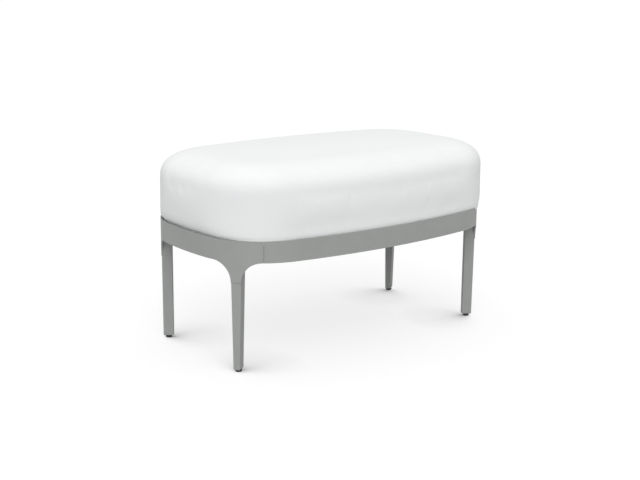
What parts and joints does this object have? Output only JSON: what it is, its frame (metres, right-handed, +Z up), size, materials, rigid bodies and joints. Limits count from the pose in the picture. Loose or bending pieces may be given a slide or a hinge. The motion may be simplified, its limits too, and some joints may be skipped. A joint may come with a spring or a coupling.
{
  "type": "ottoman",
  "caption": "Oval bench ottoman: a loose crowned cushion on a slatted deck inside a grey metal band, with flush corner plates, tapered legs and screw glides.",
  "frame": {"origin": "floor level under the middle of the seat", "axes": "+X along the seat's length, +Y to the back, +Z up"},
  "size_m": [0.806, 0.498, 0.4663],
  "materials": {
    "powder_coat": "matte",
    "zinc": "satin",
    "black_plastic": "matte",
    "cover_fabric": "matte",
    "fibre": "matte",
    "foam": "matte"
  },
  "bodies": {
    "frame": {"front_rail": "powder_coat", "rear_rail": "powder_coat", "left_rail": "powder_coat", "right_rail": "powder_coat", "front_left_plate": "powder_coat", "front_right_plate": "powder_coat", "rear_left_plate": "powder_coat", "rear_right_plate": "powder_coat", "front_left_leg": "powder_coat", "front_right_leg": "powder_coat", "rear_left_leg": "powder_coat", "rear_right_leg": "powder_coat", "front_left_leg_block": "zinc", "front_right_leg_block": "zinc", "rear_left_leg_block": "zinc", "rear_right_leg_block": "zinc", "front_left_leg_plug": "black_plastic", "front_right_leg_plug": "black_plastic", "rear_left_leg_plug": "black_plastic", "rear_right_leg_plug": "black_plastic", "front_left_brace": "powder_coat", "front_right_brace": "powder_coat", "rear_left_brace": "powder_coat", "rear_right_brace": "powder_coat", "front_ledge": "powder_coat", "rear_ledge": "powder_coat", "left_ledge": "powder_coat", "right_ledge": "powder_coat", "left_cross_rail": "powder_coat", "right_cross_rail": "powder_coat", "seat_slat_1": "powder_coat", "seat_slat_2": "powder_coat", "seat_slat_3": "powder_coat", "seat_slat_4": "powder_coat", "seat_slat_5": "powder_coat", "seat_slat_6": "powder_coat", "seat_slat_7": "powder_coat", "frame_nuts": "zinc", "slat_screws": "zinc", "cross_rail_screws": "zinc", "brace_screws": "zinc"},
    "cushion": {"cushion_cover": "cover_fabric", "base_panel": "cover_fabric", "fibre_wrap": "fibre", "foam_core": "foam", "zip_tape": "cover_fabric"},
    "zip_pull": {"zip_slider": "zinc"},
    "front_left_glide": {"front_left_pad": "black_plastic"},
    "front_left_screw": {"front_left_stem": "zinc"},
    "front_right_glide": {"front_right_pad": "black_plastic"},
    "front_right_screw": {"front_right_stem": "zinc"},
    "rear_left_glide": {"rear_left_pad": "black_plastic"},
    "rear_left_screw": {"rear_left_stem": "zinc"},
    "rear_right_glide": {"rear_right_pad": "black_plastic"},
    "rear_right_screw": {"rear_right_stem": "zinc"}
  },
  "joints": [
    {"name": "cushion_lift", "type": "slide", "parent": "frame", "child": "cushion", "axis": [0, 0, 1], "range_m": [0, 0.2]},
    {"name": "zip_slide", "type": "slide", "parent": "cushion", "child": "zip_pull", "axis": [1, 0, 0], "range_m": [0, 0.507]},
    {"name": "front_left_glide_height", "type": "slide", "parent": "frame", "child": "front_left_glide", "axis": [0, 0, -1], "range_m": [0, 0.008]},
    {"name": "front_left_screw_turn", "type": "hinge", "parent": "front_left_glide", "child": "front_left_screw", "pos_m": [-0.35495, -0.14947, 0.005], "axis": [0, 0, -1], "range_deg": [0, 2880]},
    {"name": "front_right_glide_height", "type": "slide", "parent": "frame", "child": "front_right_glide", "axis": [0, 0, -1], "range_m": [0, 0.008]},
    {"name": "front_right_screw_turn", "type": "hinge", "parent": "front_right_glide", "child": "front_right_screw", "pos_m": [0.35495, -0.14947, 0.005], "axis": [0, 0, -1], "range_deg": [0, 2880]},
    {"name": "rear_left_glide_height", "type": "slide", "parent": "frame", "child": "rear_left_glide", "axis": [0, 0, -1], "range_m": [0, 0.008]},
    {"name": "rear_left_screw_turn", "type": "hinge", "parent": "rear_left_glide", "child": "rear_left_screw", "pos_m": [-0.35495, 0.14947, 0.005], "axis": [0, 0, -1], "range_deg": [0, 2880]},
    {"name": "rear_right_glide_height", "type": "slide", "parent": "frame", "child": "rear_right_glide", "axis": [0, 0, -1], "range_m": [0, 0.008]},
    {"name": "rear_right_screw_turn", "type": "hinge", "parent": "rear_right_glide", "child": "rear_right_screw", "pos_m": [0.35495, 0.14947, 0.005], "axis": [0, 0, -1], "range_deg": [0, 2880]}
  ],
  "couplings": [
    {"joint": "front_left_screw_turn", "follows": "front_left_glide_height", "rad_per_m": 6283.2},
    {"joint": "front_right_screw_turn", "follows": "front_right_glide_height", "rad_per_m": 6283.2},
    {"joint": "rear_left_screw_turn", "follows": "rear_left_glide_height", "rad_per_m": 6283.2},
    {"joint": "rear_right_screw_turn", "follows": "rear_right_glide_height", "rad_per_m": 6283.2}
  ]
}
